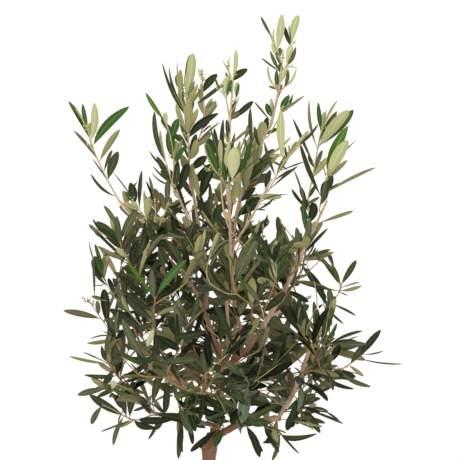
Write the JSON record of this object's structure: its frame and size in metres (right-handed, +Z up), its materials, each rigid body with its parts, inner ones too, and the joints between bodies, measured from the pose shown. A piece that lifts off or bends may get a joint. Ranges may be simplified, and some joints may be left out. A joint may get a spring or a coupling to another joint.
{
  "type": "potted olive tree",
  "caption": "Young olive tree with a slender trunk, rising boughs and an open, uneven crown of narrow leaves, growing in a plain round clay pot of soil.",
  "frame": {"origin": "centre of the pot's flat underside", "axes": "+Z up along the trunk, -Y towards the front of the crown, +X towards its right as seen from the front"},
  "size_m": [0.457, 0.394, 0.974],
  "materials": {
    "clay": "matte",
    "potting_soil": "matte",
    "bark": "satin",
    "foliage": "satin"
  },
  "bodies": {
    "root": {"back_bough": "bark", "back_left_bough": "bark", "back_low_bough": "bark", "back_right_bough": "bark", "back_upper_bough": "bark", "centre_leader": "bark", "foliage_back_left": "foliage", "foliage_back_low": "foliage", "foliage_back_right": "foliage", "foliage_centre_back": "foliage", "foliage_centre_front": "foliage", "foliage_centre_upper": "foliage", "foliage_front_left": "foliage", "foliage_front_low": "foliage", "foliage_front_right": "foliage", "foliage_inner_right": "foliage", "foliage_leader": "foliage", "foliage_left_back": "foliage", "foliage_left_bottom": "foliage", "foliage_left_low": "foliage", "foliage_left_middle": "foliage", "foliage_left_shoot": "foliage", "foliage_left_upper": "foliage", "foliage_outer_left": "foliage", "foliage_outer_right": "foliage", "foliage_right_bottom": "foliage", "foliage_right_front": "foliage", "foliage_right_hanging": "foliage", "foliage_right_low": "foliage", "foliage_right_middle": "foliage", "foliage_top": "foliage", "foliage_top_centre": "foliage", "foliage_top_left": "foliage", "foliage_top_right": "foliage", "foliage_upper_back": "foliage", "front_bough": "bark", "front_left_bough": "bark", "front_low_bough": "bark", "front_right_bough": "bark", "front_upper_bough": "bark", "inner_right_limb": "bark", "left_leader": "bark", "left_low_bough": "bark", "left_middle_bough": "bark", "left_shoot_limb": "bark", "left_stem": "bark", "main_stem": "bark", "outer_left_limb": "bark", "outer_right_limb": "bark", "pot": "clay", "right_bough": "bark", "right_branch": "bark", "right_middle_bough": "bark", "right_riser": "bark", "soil": "potting_soil", "top_leader": "bark", "trunk": "bark", "upper_back_limb": "bark", "upper_right_limb": "bark"}
  },
  "joints": []
}
